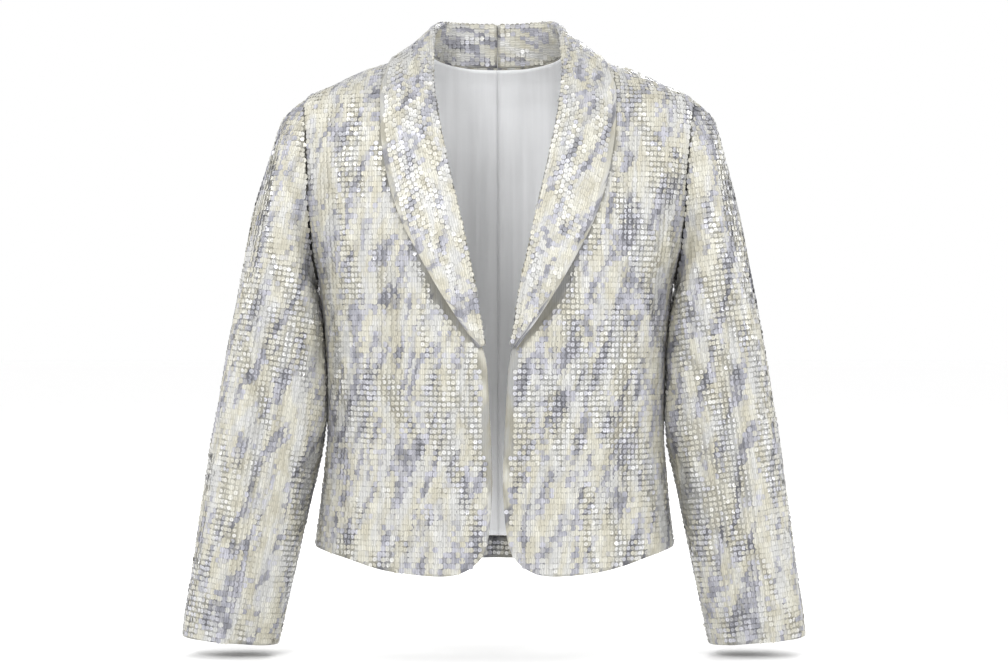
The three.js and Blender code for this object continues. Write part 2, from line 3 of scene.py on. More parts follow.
import bpy
import numpy as np
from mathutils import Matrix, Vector


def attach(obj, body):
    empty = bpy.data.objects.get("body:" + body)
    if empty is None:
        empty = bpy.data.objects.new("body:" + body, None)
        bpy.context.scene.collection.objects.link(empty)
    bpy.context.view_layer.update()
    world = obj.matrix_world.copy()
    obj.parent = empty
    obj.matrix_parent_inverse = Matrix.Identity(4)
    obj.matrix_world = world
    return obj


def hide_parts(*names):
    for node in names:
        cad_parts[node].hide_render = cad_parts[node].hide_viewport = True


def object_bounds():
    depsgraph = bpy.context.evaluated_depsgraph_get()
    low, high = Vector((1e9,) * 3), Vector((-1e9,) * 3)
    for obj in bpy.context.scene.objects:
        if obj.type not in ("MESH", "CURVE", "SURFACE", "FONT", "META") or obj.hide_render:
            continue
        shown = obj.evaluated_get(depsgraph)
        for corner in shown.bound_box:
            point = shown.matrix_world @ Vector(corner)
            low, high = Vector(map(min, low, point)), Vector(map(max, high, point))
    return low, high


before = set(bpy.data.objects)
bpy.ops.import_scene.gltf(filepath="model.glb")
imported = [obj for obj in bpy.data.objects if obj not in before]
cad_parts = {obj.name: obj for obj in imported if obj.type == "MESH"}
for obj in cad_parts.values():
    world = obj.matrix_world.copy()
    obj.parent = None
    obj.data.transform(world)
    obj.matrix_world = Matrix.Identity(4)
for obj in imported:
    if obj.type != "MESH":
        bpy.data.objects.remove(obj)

# Cropped open-front blazer in sequinned cloth with a shawl collar, as it hangs filled out
# on a wearer's shoulders. Sizes are millimetres until a mesh is made. +X is the wearer's
# left, the front faces -Y, +Z is up, and the origin lies between the two neck points.

CAD_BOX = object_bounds()
MM = 0.001
BODY = "root"

SHELL = 1.8  # outer cloth with its covering of sequins
COLLAR_CLOTH = 2.2  # collar and lapel, two layers pressed together
LINING = 1.0
TURNUP_CLOTH = 0.6
SEAM = 0.4
COLLAR_SEAM = 0.7
LINING_SPACE = 1.0
NECK_Z = 9
SHOULDER_Z = -45.6
UNDERARM_Z = -245
ARMHOLE_FRONT = 44
ARMHOLE_BACK = 54
TURNUP = 24
SIDE_CLEARANCE = 2
SIDE_HEM_Z = -516
BREAK = 13  # collar station where the lapel ends
NECK_STATION = 4  # collar station at the neck point

FINE = 4  # the cloth has this many times the rows and columns of the plain solids
SIDE_ROWS = 12 * FINE
ARMHOLE_ROWS = 12 * FINE
EDGE_ROWS = 11 * FINE
ROWS = SIDE_ROWS + ARMHOLE_ROWS
LAPEL_ROWS = ROWS - EDGE_ROWS
NECK_COLUMNS = 6 * FINE
SHOULDER_COLUMNS = 8 * FINE
FRONT_COLUMNS = 11 * FINE
BACK_COLUMNS = NECK_COLUMNS + SHOULDER_COLUMNS
AROUND = 2 * ARMHOLE_ROWS

NAP = 0.8  # depth of the sequins on the cloth
SEQUIN = 5.0  # width of a sequin
SEQUIN_ROW = 5.5  # from one row of sequins to the next
SEQUIN_COLUMN = 4.5  # from one column to the next
SEQUIN_LEAN = 5.0  # degrees that a sequin's lower edge stands off the cloth
SEQUIN_TILT = 7.0  # degrees of uneven tilt where the sequins are loose
SEQUIN_MARGIN = 1.6  # bare cloth beside a seam or an edge
FRONT_INSET = 1.8  # more of it along a front edge
LAPEL_INSET = 3.6  # and along the free edge of the collar
COLLAR_GLITTER = 0.6  # share of their looseness that sequins keep on the pressed collar
MIDDLE_DRIFT = 2.1  # how far the middle of the garment hangs off the centre
SEAM_DIP = 0.9  # how far the cloth rolls inward along a seam of a panel
ARMHOLE_DIP = 1.2  # and along the head of a sleeve
RIPPLE_HEIGHT = 0.7
RIB = 0.0018  # metres from one rib of thread to the next
EDGE_RIB = 0.0016  # on a turned edge
TWILL = 0.0009  # from one line of the satin's twill to the next


# ---- tables and curves ----

def table(names, rows):
    return dict(zip(names.split(), np.array(rows, float).T))


def track(rows, key, column):
    """Smooth curve through one column of a table, without overshoot between its rows."""
    order = np.argsort(rows[key])
    x, y = rows[key][order], rows[column][order]
    slope = np.diff(y) / np.diff(x)
    before, after = slope[:-1], slope[1:]
    same = before * after > 0
    inner = np.where(same, 2 * before * after / np.where(same, before + after, 1), 0)
    tangent = np.concatenate([slope[:1], inner, slope[-1:]])

    def at(value):
        v = np.clip(value, x[0], x[-1])
        i = np.clip(np.searchsorted(x, v, side="right") - 1, 0, len(x) - 2)
        width = x[i + 1] - x[i]
        t = (v - x[i]) / width
        s = 1 - t
        return (s * s * (1 + 2 * t) * y[i] + t * t * (3 - 2 * t) * y[i + 1]
                + s * s * t * width * tangent[i] - t * t * s * width * tangent[i + 1])
    return at


def tracks(rows, key):
    return {name: track(rows, key, name) for name in rows if name != key}


def mix(a, b, t):
    return a + (b - a) * t


def step(low, high, value):
    t = np.clip((value - low) / (high - low), 0, 1)
    return t * t * (3 - 2 * t)


def length(p):
    return np.linalg.norm(p, axis=-1)


def unit(p):
    return p / np.maximum(length(p), 1e-9)[..., None]


def dot(a, b):
    return (a * b).sum(-1)


def point(x, y, z):
    return np.stack(np.broadcast_arrays(x, y, z), -1).astype(float)


def curve(points, count):
    """Even points along a smooth curve through a few points."""
    p = np.array(points, float)
    padded = np.concatenate([p[:1], p, p[-1:]])
    t = np.linspace(0, 1, 40, endpoint=False)[:, None]
    parts = []
    for a, b, c, d in zip(padded, padded[1:], padded[2:], padded[3:]):
        parts.append(0.5 * (2 * b + (c - a) * t + (2 * a - 5 * b + 4 * c - d) * t ** 2
                            + (3 * b - a - 3 * c + d) * t ** 3))
    dense = np.concatenate(parts + [p[-1:]])
    run = np.concatenate([[0], np.cumsum(length(np.diff(dense, axis=0)))])
    even = np.linspace(0, run[-1], count + 1)
    return np.stack([np.interp(even, run, dense[:, k]) for k in range(p.shape[1])], -1)


# ---- body: level rings through the shoulders, chest, waist and hem ----

TORSO = tracks(table("z half front back power", [
    (9, 78, 22, 48, 2.0),
    (-6.5, 113, 40, 71.5, 2.0),
    (-11.6, 129, 46, 76, 2.0),
    (-17, 146, 51, 81, 2.0),
    (-30, 173, 58, 88, 2.05),
    (-45.6, 205, 66, 95, 2.1),
    (-62, 214, 73, 99, 2.15),
    (-89, 217, 84, 104, 2.25),
    (-134, 213, 97, 110, 2.35),
    (-198, 201, 108, 111, 2.4),
    (-250, 187, 113, 107, 2.4),
    (-330, 180, 113, 99, 2.4),
    (-396, 179, 108, 96, 2.4),
    (-444, 183, 106, 97, 2.4),
    (-508, 190.5, 107, 103, 2.4),
    (-545, 195.5, 108, 106, 2.4),
]), "z")


def torso_depth(z, face):
    return np.where(np.asarray(face) < 0, TORSO["front"](z), TORSO["back"](z))


def on_torso(angle, z, face):
    """Point of the body, by its angle round from the centre line; face is -1 front, 1 back."""
    turn = 2 / TORSO["power"](z)
    across = np.maximum(np.sin(angle), 0) ** turn
    deep = np.maximum(np.cos(angle), 0) ** turn
    return point(TORSO["half"](z) * across, face * torso_depth(z, face) * deep, z)


def torso_angle(x, z):
    return np.arcsin(np.clip(x / TORSO["half"](z), 0, 1) ** (TORSO["power"](z) / 2))


def torso_reach(y, z):
    """How far out the body reaches at one depth and height."""
    power = TORSO["power"](z)
    depth = np.clip(np.abs(y) / torso_depth(z, np.sign(y)), 0, 1)
    return TORSO["half"](z) * (1 - depth ** power) ** (1 / power)


def body_field(p, face):
    """Zero on the body's surface, more outside it."""
    z = p[..., 2]
    power = TORSO["power"](z)
    return (np.abs(p[..., 0] / TORSO["half"](z)) ** power
            + np.abs(p[..., 1] / torso_depth(z, face)) ** power - 1)


def body_gradient(p, face):
    h = 0.05
    ways = h * np.eye(3)
    return np.stack([body_field(p + way, face) - body_field(p - way, face)
                     for way in ways], -1) / (2 * h)


def body_normal(p, face):
    return unit(body_gradient(p, face))


def armhole(t, face):
    width = np.where(np.asarray(face) < 0, ARMHOLE_FRONT, ARMHOLE_BACK)
    z = mix(SHOULDER_Z, UNDERARM_Z, (1 - np.cos(np.pi * t)) / 2)
    y = face * width * np.sin(np.pi * t)
    return point(torso_reach(y, z), y, z)


# ---- collar stations, from the centre back round the neck to the break ----
# roll is the fold the collar turns over, edge its free edge, seam where it is sewn on.

COLLAR = tracks(table("s rollX rollY rollZ edgeX edgeZ seamX seamZ lift radius", [
    (0, 0, 68, 42.5, 0, -22, 0, -4, 2.6, 3.8),
    (1, 28, 64, 42.8, 42, -22, 25, -3.5, 2.6, 3.8),
    (2, 49, 50, 42, 78, -19, 45, -1.5, 2.6, 3.8),
    (3, 59, 30, 39, 98, -11, 62, 2, 2.6, 3.8),
    (4, 63.5, 6, 32.5, 107, -3.9, 78, NECK_Z, 2.6, 3.8),
    (5, 66, -18, 14, 115, -21, 75.5, -9.5, 2.8, 3.8),
    (6, 66.5, -46, -18, 121.5, -46, 72, -36, 3.0, 3.8),
    (7, 61.5, -73, -62, 120, -84, 68, -66, 3.2, 3.8),
    (8, 51, -93, -116, 112.5, -131, 57.5, -118, 3.4, 3.8),
    (9, 39, -104, -168, 99, -175, 45.5, -170, 4.4, 3.8),
    (10, 29.5, -111, -209, 81, -211, 36, -211, 5.8, 3.8),
    (11, 21.5, -114.1, -250, 60, -248, 28, -251.5, 5.4, 3.7),
    (12, 16.3, -114.1, -283, 37, -284, 22, -284, 3.8, 3.2),
    (13, 12, -113.6, -305.6, 19, -309, 16.4, -307, 2.2, 2.7),
]), "s")


def neck_station(k):
    return NECK_STATION * k / NECK_COLUMNS


def lapel_station(k):
    return mix(NECK_STATION, BREAK, k / LAPEL_ROWS)


def seam_outline(s):
    z = COLLAR["seamZ"](s)
    return np.stack([torso_angle(COLLAR["seamX"](s), z), z], -1)


# ---- outlines of the panels, as angle and height on the body ----

FRONT_EDGE = [
    (20, -526.5), (14.5, -519), (10.6, -508), (8.4, -494), (6.2, -470), (5.2, -443),
    (6.2, -412), (7.7, -382), (9.2, -354), (10.6, -331), (13.2, -316), (16.4, -307),
]
FRONT_HEM = [
    (20, -526.5), (27, -532.5), (34, -536.5), (43, -539.8), (58, -541.4), (78, -540.6),
    (97, -538.8), (116, -536), (132, -532), (147, -527.6), (165, -522.6), (179, -519),
]
BACK_HEM = [
    (0, -541), (30, -541), (60, -540), (90, -537.5), (118, -533.5), (145, -527.5),
    (165, -522.6), (179, -519),
]


def outline(points, count, to_side):
    side = [(float(TORSO["half"](SIDE_HEM_Z)), SIDE_HEM_Z)] if to_side else []
    line = curve(points + side, count)
    return np.stack([torso_angle(line[:, 0], line[:, 1]), line[:, 1]], -1)


def side_and_armhole(face):
    low = np.linspace(SIDE_HEM_Z, UNDERARM_Z, SIDE_ROWS, endpoint=False)
    side = np.stack([np.full(SIDE_ROWS, np.pi / 2), low], -1)
    p = armhole(1 - np.arange(ARMHOLE_ROWS + 1) / ARMHOLE_ROWS, face)
    deep = np.clip(np.abs(p[:, 1]) / torso_depth(p[:, 2], face), 0, 1)
    angle = np.arccos(deep ** (TORSO["power"](p[:, 2]) / 2))
    return np.concatenate([side, np.stack([angle, p[:, 2]], -1)])


def shoulder_seam(count):
    heights = [NECK_Z, -6.5, -11.6, -17, -30, SHOULDER_Z]
    line = curve([(float(TORSO["half"](z)), z) for z in heights], count)
    return np.stack([np.full(count + 1, np.pi / 2), line[:, 1]], -1)


def front_outline():
    lapel = seam_outline(lapel_station(np.arange(LAPEL_ROWS - 1, -1, -1)))
    return {
        "left": np.concatenate([outline(FRONT_EDGE, EDGE_ROWS, False), lapel]),
        "right": side_and_armhole(-1),
        "bottom": outline(FRONT_HEM, FRONT_COLUMNS, True),
        "top": shoulder_seam(FRONT_COLUMNS),
    }


def back_outline():
    middle = np.linspace(BACK_HEM[0][1], float(COLLAR["seamZ"](0)), ROWS + 1)
    neck = seam_outline(neck_station(np.arange(NECK_COLUMNS)))
    return {
        "left": np.stack([np.zeros(ROWS + 1), middle], -1),
        "right": side_and_armhole(1),
        "bottom": outline(BACK_HEM, BACK_COLUMNS, True),
        "top": np.concatenate([neck, shoulder_seam(SHOULDER_COLUMNS)]),
    }


def spread(edges, face):
    """Grid of points over a panel, spread between its four edges and settled on the body."""
    side = {name: on_torso(edge[:, 0], edge[:, 1], face) for name, edge in edges.items()}
    left, right, top, bottom = (side[k] for k in ("left", "right", "top", "bottom"))
    v = np.linspace(0, 1, len(left))[:, None, None]
    u = np.linspace(0, 1, len(top))[None, :, None]
    grid = mix(bottom[None], top[None], v) + mix(left[:, None], right[:, None], u)
    grid -= mix(mix(bottom[0], bottom[-1], u), mix(top[0], top[-1], u), v)
    inside = grid[1:-1, 1:-1]
    for _ in range(8):
        slope = body_gradient(inside, face)
        inside -= slope * (body_field(inside, face) / dot(slope, slope))[..., None]
    return grid


# ---- flat patterns: how far across and up the cloth each point lies ----

def run_of(steps):
    return np.concatenate([[0], np.cumsum(steps)])


def run(points, axis):
    """Length along one axis of a grid of points, from its first row or column."""
    steps = length(np.diff(points, axis=axis))
    return np.concatenate([np.zeros_like(np.take(steps, [0], axis)), np.cumsum(steps, axis)], axis)


def looked_up(grid, row, column):
    """Value of a grid at fractional rows and columns."""
    row = np.clip(row, 0, grid.shape[0] - 1.001)
    column = np.clip(column, 0, grid.shape[1] - 1.001)
    i, j = row.astype(int), column.astype(int)
    a, b = row - i, column - j
    low = mix(grid[i, j], grid[i, j + 1], b)
    return mix(low, mix(grid[i + 1, j], grid[i + 1, j + 1], b), a)


GRAIN_LEVEL = -300  # the height at which the rows of sequins are level
GRAIN_STEP = 3.0


def grain(points, face):
    """Across and up the cloth of half a panel, whose grain runs up from the hem."""
    heights = np.arange(-546, NECK_Z + GRAIN_STEP, GRAIN_STEP)
    angles = np.linspace(0, np.pi / 2, 240)
    rings = on_torso(angles[None], heights[:, None], face)
    around = run(rings, 1)
    across = np.arange(0, around.max(), GRAIN_STEP)
    lines = np.stack([[np.interp(across, arc, ring[:, k]) for k in range(3)]
                      for arc, ring in zip(around, rings)])
    up = run(np.moveaxis(lines, 1, 2), 0)
    up -= up[int((GRAIN_LEVEL - heights[0]) / GRAIN_STEP)]
    row = (points[..., 2] - heights[0]) / GRAIN_STEP
    angle = torso_angle(points[..., 0], points[..., 2])
    u = looked_up(around, row, angle / angles[1])
    return u, looked_up(up, row, u / GRAIN_STEP)


def sideways(points, v):
    """How far across the cloth the points of a tube lie, given how far up it they are."""
    steps = length(np.diff(points, axis=1)) ** 2 - np.diff(v, axis=1) ** 2
    steps = np.sqrt(np.maximum(steps, 0.01))
    return np.concatenate([np.zeros((len(v), 1)), np.cumsum(steps, 1)], 1)


def patches(u, v, seed, wide, long, slant=0.0):
    """Smooth random field between 0 and 1 on the flat cloth, in cells of one width and length."""
    x, y = (u + slant * v) / wide + 500, v / long + 500
    chance = np.random.default_rng(seed).random((1000, 1000))
    total = np.zeros(np.shape(u))
    for share, finer in ((0.65, 1), (0.35, 2.3)):
        i, j = np.floor(x * finer).astype(int), np.floor(y * finer).astype(int)
        a, b = step(0, 1, x * finer - i), step(0, 1, y * finer - j)
        i, j = i % 999, j % 999
        low = mix(chance[i, j], chance[i + 1, j], a)
        total += share * mix(low, mix(chance[i, j + 1], chance[i + 1, j + 1], a), b)
    return total


def lively(u, v, seed):
    """How much the sequins stand up and glitter: 0 where they lie flat, 1 where they are loose.
    The materials also use it for the painted highlight on the sequins and the painted shade on the
    ground.
    """
    return step(0.44, 0.6, patches(u, v, seed, 15, 60, 0.25))


# ---- folds of the cloth ----
# Each runs from one point to another, swelling to its rise (a hollow if negative) halfway.

FRONT_FOLDS = table("x0 z0 x1 z1 width rise", [
    (-44, -235, -62, -560, 17, 2.6),
    (-104, -190, -96, -410, 13, -3.0),
    (-128, -170, -118, -470, 13, 2.2),
    (-176, -90, -164, -250, 9, -2.4),
    (-150, -330, -142, -580, 14, -2.0),
    (-84, -420, -92, -590, 14, -1.6),
    (98, -120, 76, -420, 15, 2.6),
    (132, -80, 122, -260, 12, -2.8),
    (172, -110, 160, -270, 9, -2.2),
    (48, -250, 58, -470, 14, -1.8),
    (112, -300, 104, -585, 15, -2.4),
    (142, -260, 140, -520, 13, 2.0),
    (34, -380, 44, -590, 14, 2.0),
    (-102, -190, -9, -340, 7, -3.0),
    (102, -190, 9, -340, 7, -3.0),
])
BACK_FOLDS = table("x0 z0 x1 z1 width rise", [
    (-58, -150, -48, -580, 20, 2.4),
    (20, -200, 12, -590, 18, -2.2),
    (88, -120, 74, -560, 18, 2.6),
    (-118, -110, -104, -420, 15, -2.8),
    (138, -100, 122, -400, 14, -2.6),
    (-22, -300, -28, -600, 14, -1.8),
])
SLEEVE_FOLDS = table("hand x0 z0 x1 z1 width rise", [
    (-1, 55, -190, 84, -650, 13, 3.0),
    (-1, 108, -230, 132, -650, 13, 2.8),
    (-1, 80, -230, 108, -640, 12, -3.2),
    (-1, 36, -80, 58, -260, 11, -2.4),
    (-1, 150, -300, 96, -362, 10, -2.6),
    (-1, 158, -400, 120, -450, 9, -2.0),
    (1, 60, -170, 78, -640, 13, 2.8),
    (1, 116, -200, 126, -640, 13, 3.0),
    (1, 88, -240, 102, -650, 12, -3.4),
    (1, 40, -90, 66, -250, 11, -2.2),
    (1, 152, -330, 92, -400, 10, -2.4),
    (1, 160, -420, 118, -470, 9, -2.2),
    (-1, 282, -150, 262, -620, 15, -2.8),
    (-1, 236, -280, 300, -370, 12, 2.4),
    (1, 280, -160, 258, -630, 15, -2.8),
    (1, 234, -300, 296, -390, 12, 2.4),
])


FOLD_DEPTH = 1.8


def fold_rise(x, z, folds):
    rise = np.zeros(np.broadcast(x, z).shape)
    columns = [folds[k] for k in ("x0", "z0", "x1", "z1", "width", "rise")]
    for x0, z0, x1, z1, width, height in zip(*columns):
        dx, dz = x1 - x0, z1 - z0
        span = math.hypot(dx, dz)
        along = np.clip(((x - x0) * dx + (z - z0) * dz) / span ** 2, 0, 1)
        off = ((x - x0) * dz - (z - z0) * dx) / span
        rise += FOLD_DEPTH * height * np.sin(np.pi * along) * np.exp(-((off / width) ** 2))
    return rise


def ripples(u, v, seed, count):
    """Small soft ripples of the loaded cloth, long along the grain and uneven."""
    chance = np.random.default_rng(seed)
    rise = np.zeros(u.shape)
    for _ in range(count):
        x, z = chance.uniform(u.min(), u.max()), chance.uniform(v.min(), v.max())
        long, wide = chance.uniform(22, 55), chance.uniform(5, 9)
        lean, tall = chance.normal(0, 0.16), RIPPLE_HEIGHT * chance.normal(0, 1)
        off = (u - x) - lean * (v - z)
        rise += tall * np.exp(-((off / wide) ** 2) - ((v - z) / long) ** 2)
    return rise


# ---- sheets ----

HANG = tracks(table("z middle sides", [
    (45, 1, 1), (-10, 1.6, 2.2), (-40, 2, 3.2), (-80, 2.1, 2.4), (-130, 2.1, 1.2),
    (-260, 2.1, 0.3), (-400, 2.1, -0.3), (-500, 2.1, -1.3), (-620, 2.1, -2.2),
]), "z")


def hung(p):
    """A garment never hangs quite even: the middle and the two sides drift by a few mm."""
    shift = mix(HANG["middle"](p[..., 2]), HANG["sides"](p[..., 2]),
                step(70, 180, np.abs(p[..., 0])))
    return p + shift[..., None] * np.array([1.0, 0, 0])


def mirrored(grid):
    return grid * np.array([-1.0, 1, 1])


def both_halves(grid):
    return np.concatenate([mirrored(grid[:, :0:-1]), grid], 1)


def sided(name, hand):
    return name + ("_left" if hand > 0 else "_right")


def grid_normals(grid, closed):
    up = np.gradient(grid, axis=0)
    if closed:
        ring = grid[:, :-1]
        across = np.roll(ring, -1, 1) - np.roll(ring, 1, 1)
        across = np.concatenate([across, across[:, :1]], 1)
    else:
        across = np.gradient(grid, axis=1)
    return unit(np.cross(across, up))


class Sheet:
    """A piece of cloth: its outer points, which way is out, and its flat pattern."""

    def __init__(self, name, points, out, u, v, thickness, closed=False, inset=(0, 0), flip=False):
        if flip:
            points, out, u, v = points[:, ::-1], out[:, ::-1], -u[:, ::-1], v[:, ::-1]
            inset = inset[::-1]
        self.name, self.points, self.out = name, hung(points), out
        self.u, self.v, self.thickness, self.closed = u, v, thickness, closed
        self.inset = inset
        self.seed = sum(map(ord, name))
        self.glitter = COLLAR_GLITTER if name.startswith("collar") else 1.0
        # Painted shadow beside the lapel, given as a looseness of the ground. It is none unless a
        # front sets it.
        self.shade = 0.0

    def loose(self, u, v):
        """How loose its sequins are: they lie flatter on the pressed collar."""
        return self.glitter * lively(u, v, self.seed)


SLEEVE_RINGS = tracks(table("ring outX outZ inX inZ front back midY power", [
    (1, 217.5, -55, 190, -249, 47, 57, 0, 2.0),
    (2, 229, -68, 190, -252, 51, 60, 0, 2.05),
    (3, 237, -94, 188, -257, 55, 62, 0, 2.1),
    (4, 247, -128, 184, -264, 58, 63, -0.5, 2.15),
    (5, 258, -172, 180, -274, 61, 64, -1, 2.2),
    (6, 266.5, -215, 177, -290, 62, 64, -2, 2.2),
    (7, 275.5, -264, 175, -310, 60, 61, -3, 2.2),
    (8, 285.5, -318, 172, -340, 57, 58, -5, 2.2),
    (9, 293.5, -368, 171, -378, 53, 54, -7, 2.2),
    (10, 300, -405, 178, -404, 51, 52, -9, 2.2),
    (11, 305.5, -445, 187.5, -443, 49, 50, -11, 2.2),
    (12, 312, -490, 197, -487, 47, 47, -13, 2.2),
    (13, 318, -535, 206.5, -531, 45, 45, -15, 2.2),
    (14, 323.5, -573, 215, -571, 42.5, 43, -17, 2.2),
    (15, 326.5, -593, 221, -598, 40, 41, -17.5, 2.2),
    (16, 328, -611, 226, -620, 38.5, 39.5, -18, 2.2),
]), "ring")
SLEEVE_RING_COUNT = 16
FRONT_OF_ARM = 3 * AROUND // 4
TOP_OF_ARM = AROUND // 2
TUBE_ROW = 3 * FINE  # above this row the sleeve narrows and its cloth is eased in


def sleeve_ring(k):
    """Ring of a sleeve: 0 is the armhole, and the last is the cuff."""
    j = np.arange(AROUND + 1)
    if k == 0:
        front = j <= ARMHOLE_ROWS
        return armhole(np.where(front, j, AROUND - j) / ARMHOLE_ROWS, np.where(front, -1, 1))
    at = {name: float(f(k)) for name, f in SLEEVE_RINGS.items()}
    angle = 2 * np.pi * j / AROUND
    turn = 2 / at["power"]
    lift = np.sign(np.sin(angle)) * np.abs(np.sin(angle)) ** turn
    out = np.sign(np.cos(angle)) * np.abs(np.cos(angle)) ** turn
    y = at["midY"] - lift * np.where(lift > 0, at["front"], at["back"])
    z = mix(at["inZ"], at["outZ"], (1 + out) / 2)
    x = mix(at["inX"], at["outX"], (1 + out) / 2)
    clearance = min(SIDE_CLEARANCE, 0.8 + 0.6 * (k - 1))
    return point(np.maximum(x, torso_reach(y, z) + clearance), y, z)


def sleeve_grid():
    head = sleeve_ring(0)
    below = sleeve_ring(1)
    near = [mix(head, below, t) for t in np.arange(FINE) / FINE]
    rest = [sleeve_ring(k) for k in np.arange(1, SLEEVE_RING_COUNT + 0.01, 1 / FINE)]
    grid = np.stack(near + rest)
    soft = grid.copy()
    for _ in range(3):
        soft[1:2 * FINE] = (soft[:2 * FINE - 1] + 2 * soft[1:2 * FINE] + soft[2:2 * FINE + 1]) / 4
    return soft


def from_seam(rings):
    """The same closed rings, begun at the sleeve's seam, which runs up the inside of the arm."""
    rings = np.roll(rings[:, :-1], AROUND // 2, 1)
    return np.concatenate([rings, rings[:, :1]], 1)


def ease_head(grid, u, v):
    """Keeps the sequins' columns apart on the back and underarm of a narrowing sleeve head."""
    j, side = np.arange(AROUND + 1), AROUND // 6
    eased = step(TOP_OF_ARM, TOP_OF_ARM - side, j) + step(AROUND - side, AROUND, j)
    above = run(grid[TUBE_ROW::-1], 0)[:0:-1]
    u[:TUBE_ROW] = mix(u[:TUBE_ROW], u[TUBE_ROW], eased)
    v[:TUBE_ROW] = mix(v[:TUBE_ROW], v[TUBE_ROW] + above, eased)


def sleeve(hand):
    grid = from_seam(sleeve_grid())
    out = grid_normals(grid, True)
    middle = grid.mean(1, keepdims=True)
    out *= np.sign(dot(out, grid - middle))[..., None]
    along = unit(grid[6 * FINE].mean(0) - grid[-1].mean(0))
    v = dot(grid - grid[-1].mean(0), along)
    u = sideways(grid, v)
    front_line = grid[:, FRONT_OF_ARM]
    across = unit(np.cross(along, out[:, FRONT_OF_ARM]))
    across *= np.sign(dot(across, grid[:, FRONT_OF_ARM + 1] - front_line))[:, None]
    drift = run_of(dot(np.diff(front_line, axis=0), across[1:]))
    u += (drift - drift[-1] - u[:, FRONT_OF_ARM])[:, None]
    ease_head(grid, u, v)
    turn = (180 + 360 * np.arange(AROUND + 1) / AROUND) % 360 + np.zeros_like(u)
    mine = {k: column[SLEEVE_FOLDS["hand"] == hand] for k, column in SLEEVE_FOLDS.items()}
    fade = np.clip(np.arange(len(grid)) / FINE, 0, 1)[:, None]
    rise = fade * fold_rise(turn, grid[..., 2], mine)
    small = ripples(u, v, 40 + hand, 130)
    small[:, -1] = small[:, 0]
    rise += fade * small
    rise[0] -= ARMHOLE_DIP
    points = grid + out * (rise - NAP)[..., None]
    if hand < 0:
        points, out = mirrored(points), mirrored(out)
    return Sheet(sided("sleeve", hand), points, out, u, v, SHELL - NAP, True, flip=hand > 0)


def seam_dip(shape, sides):
    """The cloth rolls inward where it is sewn: rise at the named sides of a panel."""
    rise = np.zeros(shape)
    places = {"top": np.s_[-1, :], "right": np.s_[:, -1], "left": np.s_[:, 0]}
    for side in sides:
        rise[places[side]] = -SEAM_DIP
    return rise


def panel(grid, face):
    """Points of a panel, parted from its neighbours at the seams, and which way is out."""
    return grid + np.array([0, face * SEAM / 2, 0]), body_normal(grid, face)


def folded(grid, folds, seed, u, v):
    """Rise of the folds, which fade towards the seams but run out through the hem."""
    rows, columns = grid.shape[0] - 1, grid.shape[1] - 1
    i = np.arange(rows + 1)[:, None]
    j = np.arange(columns + 1)[None]
    fade = np.minimum(1, j / (2 * FINE)) * np.minimum(1, (columns - j) / (2 * FINE))
    fade = fade * np.minimum(1, (rows - i) / (3 * FINE))
    return fade * (fold_rise(grid[..., 0], grid[..., 2], folds) + ripples(u, v, seed, 150))


FRONT_GRID = spread(front_outline(), -1)
FRONT_GRAIN = grain(FRONT_GRID, -1)
BACK_HALF = spread(back_outline(), 1)
BACK_GRAIN = grain(BACK_HALF, 1)


LAPEL_SHADOW = 2.6  # how far beside the lapel's edge the cloth shows no sequins
SHADOW_SWELL = 4.2  # how much wider that is where the shadow is widest
SHADOW_Z = -268
SHADOW_REACH = 32
LAPEL_SHADE = 1.4  # painted shadow of the lapel on the ground beside it, given as a looseness, which darkens the ground
SHADE_FADE = (0.6, 1.5)  # where that fades out, in widths of the shadow


def lapel_gap(points):
    """How far beside the lapel's edge points of a front lie, in widths of its shadow."""
    x, z = np.abs(points[..., 0] - MIDDLE_DRIFT), points[..., 2]
    s = np.linspace(BREAK, NECK_STATION, 200)
    edge = np.interp(z, COLLAR["edgeZ"](s), COLLAR["edgeX"](s), left=-1, right=-1)
    wider = SHADOW_SWELL * np.exp(-((z - SHADOW_Z) / SHADOW_REACH) ** 2)
    return (x - edge) / (LAPEL_SHADOW * (1 + wider))


def front(hand):
    grid, out = panel(FRONT_GRID, -1)
    u, v = FRONT_GRAIN
    if hand < 0:
        grid, out = mirrored(grid), mirrored(out)
    rise = folded(grid, FRONT_FOLDS, 20 + hand, u, v) + seam_dip(u.shape, ("top", "right"))
    points = grid + out * (rise - NAP)[..., None]
    sheet = Sheet(sided("front", hand), points, out, u, v, SHELL - NAP, inset=(FRONT_INSET, 0),
                  flip=hand < 0)
    # Painted shadow: the ground beside the lapel is darkened, and this fades out with distance
    # from the lapel's edge.
    sheet.shade = LAPEL_SHADE * (1 - step(*SHADE_FADE, lapel_gap(sheet.points)))
    return sheet


def whole_back():
    """Both halves of the back: points, which way is out, and the flat pattern."""
    half, half_out = panel(BACK_HALF, 1)
    u, v = BACK_GRAIN
    u, v = np.concatenate([-u[:, :0:-1], u], 1), np.concatenate([v[:, :0:-1], v], 1)
    return both_halves(half), both_halves(half_out), u, v


def back():
    grid, out, u, v = whole_back()
    rise = folded(grid, BACK_FOLDS, 30, u, v) + seam_dip(u.shape, ("top", "right", "left"))
    points = grid + out * (rise - NAP)[..., None]
    return Sheet("back", points, out, u, v, SHELL - NAP)


# ---- collar ----

STAND_STEPS = 3 * FINE
ROLL_STEPS = 5 * FINE
FALL_STEPS = 7 * FINE


def clear_of_body(p, face, distance):
    """Pushes points out until they stand a set distance off the body."""
    p = p.copy()
    for _ in range(4):
        slope = body_gradient(p, face)
        steep = length(slope)
        short = distance - body_field(p, face) / steep
        push = (short > 0) & (p[..., 2] < NECK_Z)
        p[push] += (slope * (short / steep)[..., None])[push]
    return p


